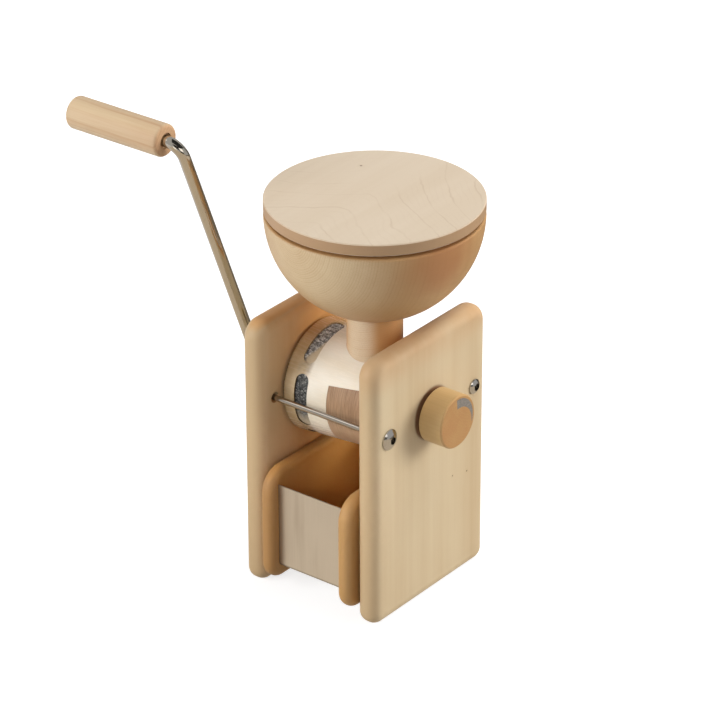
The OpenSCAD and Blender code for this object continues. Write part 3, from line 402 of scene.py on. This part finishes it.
def drum_wood(name):
    """Pale turned drum: cream on the knob side, a browner ring on the crank side and darker smears along the
    windows' track, with painted shade at its seat against the left panel, on the window walls and on its
    lower front, where it also stands in for the drawer's reflection.
    """
    fibre_tan, seat_shade_brown, top_orange = srgb(198, 172, 132), srgb(130, 92, 54), srgb(196, 126, 64)
    track_brown, low_shade_tan, wall_shade_brown = srgb(136, 118, 94), srgb(196, 162, 128), srgb(64, 50, 36)
    n = Nodes(name)
    place = n.place()
    x, angle, reach = drum_angle(n, place)
    wave = n.noise(n.vector("MULTIPLY", place, (0.4, 1.0, 1.0)), 38.0, 3.0)
    edge = n.math("MULTIPLY_ADD", n.math("SUBTRACT", wave, 0.5), 0.006, x)
    fibre = n.noise(n.vector("MULTIPLY", place, (0.05, 1.0, 1.0)), 800.0, 3.0)
    turned = n.noise(n.vector("MULTIPLY", place, (1.0, 0.02, 0.02)), 1300.0, 2.0)
    cream = n.mix(n.smooth(wave, 0.35, 0.7), srgb(244, 236, 221), srgb(236, 224, 202))
    ring = n.mix(n.smooth(wave, 0.3, 0.7), srgb(224, 200, 160), srgb(206, 178, 136))
    color = n.mix(n.smooth(edge, WINDOW_X - 0.001, WINDOW_X + 0.007), ring, cream)
    color = n.mix(n.smooth(fibre, 0.45, 0.75, 0.0, 0.18), color, fibre_tan)
    # Painted shadow at the drum's seat against the left panel
    color = n.mix(n.smooth(x, DRUM_LEFT_X + 0.003, DRUM_LEFT_X + 0.0003, 0.0, 0.55), color, seat_shade_brown)
    warm = n.math("MULTIPLY", n.smooth(angle, 0.9, 1.4, 0.0, 0.35), n.smooth(x, WINDOW_X, WINDOW_X - 0.008))
    color = n.mix(warm, color, top_orange)
    stain = n.smooth(n.noise(place, 90.0, 3.0), 0.3, 0.65, 0.4, 1.0)
    # Darker smears along the window track, in the stretches beyond the stones
    track = n.between(edge, WINDOW_X - 0.0065, WINDOW_X + 0.005, 0.0022)
    gaps = n.math("MAXIMUM", n.between(angle, 0.48, 0.72, 0.05), n.between(angle, -1.25, -0.56, 0.1))
    smear = n.math("MULTIPLY", n.math("MULTIPLY", track, stain), n.math("MULTIPLY_ADD", gaps, 0.42, 0.16))
    color = n.mix(smear, color, track_brown)
    # Painted shade and reflection of the drawer on the drum's lower front
    color = n.mix(n.smooth(angle, -0.35, -0.95, 0.0, 0.6), color, low_shade_tan)
    surface = n.math("MULTIPLY_ADD", n.math("SUBTRACT", x, DRUM_LEFT_X), DRUM_TAPER, DRUM_LEFT_R)
    wall = n.smooth(n.math("SUBTRACT", surface, reach), 0.0001, 0.0003)
    # Painted shade on the window walls, deeper at the front window
    color = n.mix(n.math("MULTIPLY", wall, by_window(n, angle, 0.85, 0.4)), color, wall_shade_brown)
    rough = n.math("MULTIPLY_ADD", fibre, 0.1, 0.22)
    height = n.math("ADD", n.math("MULTIPLY", fibre, 0.5), turned)
    return n.finish(Base_Color=color, Roughness=rough, Normal=n.bump(height, 0.08, 0.00015),
                    Specular_IOR_Level=0.55)


def lined_end_grain(name):
    """End-grain block of the drum: fine lines around the drum, streaked along them, paler at its foot."""
    foot_high, foot_low = AXIS_H - 0.009, AXIS_H - 0.019
    n = Nodes(name)
    place = n.place()
    z = n.split(place)[2]
    lines = n.noise(n.vector("MULTIPLY", place, (1.0, 0.04, 0.04)), 1500.0, 3.0, 0.65)
    streak = n.noise(n.vector("MULTIPLY", place, (1.0, 0.12, 0.12)), 210.0, 2.0)
    color = n.mix(n.smooth(lines, 0.32, 0.68), srgb(178, 144, 112), srgb(144, 112, 84))
    color = n.mix(n.smooth(streak, 0.5, 0.75, 0.0, 0.4), color, srgb(192, 162, 130))
    color = n.mix(n.smooth(z, foot_high, foot_low, 0.0, 0.6), color, srgb(196, 162, 130))
    return n.finish(Base_Color=color, Roughness=0.42, Normal=n.bump(lines, 0.25, 0.0002),
                    Specular_IOR_Level=0.45)


def printed_grey(name):
    """Matt grey of the fineness mark, slightly worn."""
    n = Nodes(name)
    worn = n.noise(n.place(), 700.0, 3.0)
    color = n.mix(n.smooth(worn, 0.35, 0.75), srgb(128, 121, 113), srgb(150, 142, 132))
    return n.finish(Base_Color=color, Roughness=0.55, Normal=n.bump(worn, 0.15, 0.0001),
                    Specular_IOR_Level=0.3)


PALE, DEEP = srgb(219, 198, 162), srgb(203, 175, 135)
# Painted shade and warm bounce light on the drawer sides' inside faces
INSIDE_SHADE = srgb(226, 162, 82)
BOWL_PITH = (-0.004, 0, RIM_H + 0.004)
PANEL_KNOTS = [((PANEL_X, 0.0486, 0.0935), 0.0011), ((PANEL_X, 0.0288, 0.0976), 0.0009),
               ((PANEL_X - 0.0018, -0.068, 0.190), 0.0009)]
LID_KNOTS = [((-0.0334, 0.0395, LID_TOP_H), 0.0014)]
panel = dict(ring=0.006, lines=0.1, streak=0.6, cloud=0.5)
turned_bowl = dict(ring=0.0019, warp=0.0016, streak=0.1, end_share=0.92)
materials = {
    "left_panel": wood("beech_left_panel", PALE, DEEP, Z, (-0.35, 0.06, 0), **panel,
                       tint=painted_inside_shade(srgb(226, 156, 74), top=0.6, edge=0.55)),
    "right_panel": wood("beech_right_panel", PALE, DEEP, Z, (0.30, -0.04, 0), **panel, knots=PANEL_KNOTS,
                        tint=all_of(painted_inside_shade(srgb(196, 130, 66), side=-1.0, edge=0.45), painted_panel_shade)),
    "base_board": wood("beech_base", PALE, DEEP, X, (0.02, 0, -0.12)),
    "hopper_neck": wood("beech_neck", srgb(202, 158, 108), srgb(182, 136, 88), Y, BOWL_PITH, **turned_bowl,
                        lines=0.2, cloud=0.2, end=srgb(224, 210, 184), end_from=0.65),
    "hopper_bowl": wood("beech_bowl", srgb(196, 154, 104), srgb(172, 128, 82), Y, BOWL_PITH, **turned_bowl,
                        lines=0.25, end=srgb(227, 210, 174), end_from=0.5, tint=bowl_flush),
    "lid": wood("beech_lid", srgb(219, 202, 179), srgb(206, 185, 158), Y, (0.05, 0.03, RIM_H - 0.045),
                ring=0.011, lines=0.1, fibre=0.06, cloud=0.6, knots=LID_KNOTS, tint=lid_figure),
    # The drawer boards' deeper, oranger tones are partly the wood's own and partly painted shade and warm
    # bounce light inside the mill
    "drawer_left_side": wood("beech_drawer_left", srgb(182, 138, 86), srgb(162, 114, 64), Z, (-0.14, -0.2, 0),
                             lines=0.06, tint=painted_inside_shade(INSIDE_SHADE, top=0.3)),
    "drawer_right_side": wood("beech_drawer_right", srgb(198, 154, 98), srgb(180, 132, 76), Z,
                              (0.16, -0.1, 0), lines=0.06, tint=painted_inside_shade(INSIDE_SHADE, side=-1.0)),
    "drawer_back": wood("beech_drawer_back", srgb(210, 164, 104), srgb(192, 142, 84), X, (0, 0.15, 0.02),
                        lines=0.06),
    "grip": wood("beech_grip", srgb(207, 182, 147), srgb(184, 142, 106), X,
                 (0, GRIP_Y + 0.03, GRIP_Z - 0.025), ring=0.0028, lines=0.4, fibre=0.3, streak=0.8, cloud=0.6,
                 end=srgb(214, 168, 126), end_share=0.8, polish=0.46),
    "knob": wood("beech_knob", srgb(220, 186, 132), srgb(194, 156, 100), X, (0, 0.03, AXIS_H + 0.035),
                 ring=0.0024, lines=0.2, streak=0.4, cloud=0.5, end=srgb(182, 128, 78), end_share=0.95),
    "feed_block": wood("beech_block", PALE, DEEP, X, (0, 0.03, AXIS_H - 0.05)),
    "drum_shell": drum_wood("drum_beech"),
    "drum_inlay": lined_end_grain("inlay_end_grain"),
    "fixed_stone": millstone("millstone"),
    "knob_mark": printed_grey("mark_grey"),
    "drawer_pan": steel("brushed_sheet", srgb(230, 224, 217), 0.4, (1.0, 1.0, 0.01), 1500.0, smear=0.08,
                        tint=sheet_streaks_and_shade),
    "crank_rod": steel("polished_rod", srgb(204, 197, 184), 0.1, (0.05, 1.0, 0.05), 700.0, depth=0.00005,
                       smear=0.04),
    "front_tie_rod": steel("drawn_rod", srgb(176, 168, 158), 0.12, (0.02, 1.0, 1.0), 1200.0, smear=0.05),
    "right_tie_nuts": steel("turned_nuts", srgb(198, 194, 188), 0.14, (1.0, 0.3, 0.3), 900.0, smear=0.05,
                            tint=dark_socket),
    "main_shaft": steel("ground_steel", srgb(190, 188, 184), 0.28, (1.0, 0.1, 0.1), 1200.0),
    "left_bearing": steel("plain_brass", srgb(206, 176, 108), 0.3, (1.0, 0.2, 0.2), 1000.0),
    "base_dowels": wood("beech_dowel", PALE, DEEP, X, (0, 0.01, 0.02), ring=0.002),
}
same_as = {
    "fixed_stone": ("running_stone",),
    "front_tie_rod": ("rear_tie_rod",),
    "right_tie_nuts": ("left_tie_nuts", "coupling_screws", "knob_screw", "crank_coupling"),
    "main_shaft": ("grip_ring", "shaft_ring", "stone_hub", "drive_pin", "feed_screw", "adjusting_spindle",
                   "guide_pin"),
    "left_bearing": ("sleeve_guide", "spindle_bush", "thrust_sleeve"),
    "base_dowels": ("drawer_dowels", "grip_plug"),
}
for first, others in same_as.items():
    for other in others:
        materials[other] = materials[first]
for name, node in nodes.items():
    node.data.materials.clear()
    node.data.materials.append(materials[name])


def seen_directly(n, path):
    """1 for the rays by which the camera sees the surroundings, also through glass."""
    return n.math("MAXIMUM", path["Is Camera Ray"], path["Is Transmission Ray"])


def floor_material():
    """Floor that the camera sees white, apart from the object's shadow, and mirrors see as a warm table."""
    near_r, far_r, near_glow, far_glow = 0.6, 1.8, 0.76, 1.0
    warm, pale, dark = (0.67, 0.56, 0.42, 1), (0.82, 0.82, 0.84, 1), (0.2, 0.16, 0.12, 1)
    n = Nodes("studio_floor")
    path = n.add("LightPath").outputs
    place = n.place()
    bright = n.smooth(n.vector("LENGTH", place), near_r, far_r, near_glow, far_glow)
    diffuse = n.add("BsdfDiffuse", Color=(0.5, 0.5, 0.5, 1)).outputs[0]
    strength = n.math("MULTIPLY", seen_directly(n, path), bright)
    glow = n.add("Emission", Color=WHITE, Strength=strength).outputs[0]
    x, y, _ = n.split(place)
    table = n.mix(n.smooth(x, -0.25, -0.6), warm, pale)
    table = n.mix(n.smooth(y, 0.12, 0.5), table, dark)
    table = n.add("Emission", Color=table).outputs[0]
    lit = n.join("AddShader", diffuse, glow)
    return n.surface(n.join("MixShader", lit, table, Fac=path["Is Glossy Ray"]))


def surroundings():
    """World that is white to the camera, grey to mirrors and a weak fill light."""
    fill, mirrored = 0.18, 0.5
    n = Nodes("studio", bpy.data.worlds)
    path = n.add("LightPath").outputs
    level = n.math("MULTIPLY_ADD", path["Is Glossy Ray"], mirrored - fill, fill)
    strength = n.math("MAXIMUM", seen_directly(n, path), level)
    return n.surface(n.add("Background", Color=WHITE, Strength=strength).outputs[0], "OutputWorld")


def aimed(place, aim, axis):
    """Rotation that turns an object's axis from its place to the aim."""
    return (aim - Vector(place)).to_track_quat(axis, "Y").to_euler()


def card(name, place, size, color):
    """Flat card that only mirrors see, turned to the mill."""
    n = Nodes(name)
    cloud = n.noise(n.place(), 1.5, 2.0)
    tone = n.vector("SCALE", color, scale=n.math("MULTIPLY_ADD", cloud, 0.4, 0.8))
    n.surface(n.add("Emission", Color=tone).outputs[0])
    bpy.ops.mesh.primitive_plane_add(size=1.0, location=place)
    sheet = bpy.context.object
    sheet.name = name
    sheet.scale = (*size, 1.0)
    sheet.rotation_euler = aimed(place, MILL_MIDDLE, "Z")
    sheet.data.materials.append(n.block)
    sheet.visible_camera = False
    sheet.visible_diffuse = False
    sheet.visible_transmission = False
    sheet.visible_shadow = False


def lamp(name, place, size, power, aim=MILL_MIDDLE, spread=180.0):
    """Round soft lamp that mirrors do not see; its spread is in degrees."""
    light = bpy.data.lights.new(name, "AREA")
    light.shape = "DISK"
    light.size = size
    light.spread = math.radians(spread)
    light.energy = power
    holder = bpy.data.objects.new(name, light)
    holder.location = place
    holder.visible_glossy = False
    holder.rotation_euler = aimed(place, aim, "-Z")
    bpy.context.scene.collection.objects.link(holder)


def studio():
    """Floor, white surroundings, soft lamps, and the dark and bright cards that polished steel mirrors."""
    below_feet = 0.0002
    bpy.ops.mesh.primitive_plane_add(size=12.0, location=(0, 0, -below_feet))
    floor = bpy.context.object
    floor.name = "studio_floor"
    floor.data.materials.append(floor_material())
    bpy.context.scene.world = surroundings()
    card("camera_card", (2.0, -2.4, 1.9), (2.8, 1.9), (0.035, 0.03, 0.028))
    card("overhead_card", (1.0, 0.3, 2.4), (3.4, 2.6), (0.03, 0.03, 0.03))
    card("back_card", (0.6, 2.4, 0.6), (0.9, 2.0), (0.06, 0.055, 0.05))
    card("left_card", (-1.3, -1.2, 1.8), (1.0, 1.0), (1.6, 1.55, 1.5))
    card("front_card", (0.5, -2.4, 0.45), (0.7, 0.7), (1.5, 1.45, 1.4))
    card("right_card", (1.9, -0.6, 1.2), (1.3, 0.8), (1.7, 1.65, 1.6))
    card("low_card", (2.1, -1.0, 0.5), (1.6, 0.55), (0.06, 0.05, 0.04))
    lamp("key", (0.3, 0.5, 1.9), 1.2, 18.0)
    lamp("left", (-1.1, -1.7, 0.85), 1.3, 34.0)
    lamp("right", (1.6, 1.3, 0.8), 1.2, 33.0)
    lamp("fill", (1.45, -1.85, 1.3), 1.0, 7.0)
    lamp("drawer_fill", (0.45, -0.75, 0.45), 0.12, 0.006, aim=Vector((-0.025, -0.01, 0.085)), spread=7.0)


def camera():
    """Long lens from the right front, above the mill."""
    aim, distance = Vector((-0.00278, -0.00216, 0.19496)), 3.09398
    azimuth, elevation, roll = (math.radians(angle) for angle in (37.81, 27.631, -0.186))
    side = Vector((math.cos(azimuth), math.sin(azimuth), 0))
    toward = Vector((math.sin(azimuth), -math.cos(azimuth), 0))
    back = math.cos(elevation) * toward + math.sin(elevation) * Vector(Z)
    up = back.cross(side)
    right = math.cos(roll) * side + math.sin(roll) * up
    top = math.cos(roll) * up - math.sin(roll) * side
    data = bpy.data.cameras.new("camera")
    data.sensor_width = 36.0
    data.lens = 190.0
    data.clip_end = 50.0
    view = bpy.data.objects.new("camera", data)
    turn = Matrix((right, top, back)).transposed().to_4x4()
    view.matrix_world = Matrix.Translation(aim + distance * back) @ turn
    bpy.context.scene.collection.objects.link(view)
    bpy.context.scene.camera = view


studio()
camera()
bpy.context.scene.view_settings.view_transform = "Standard"
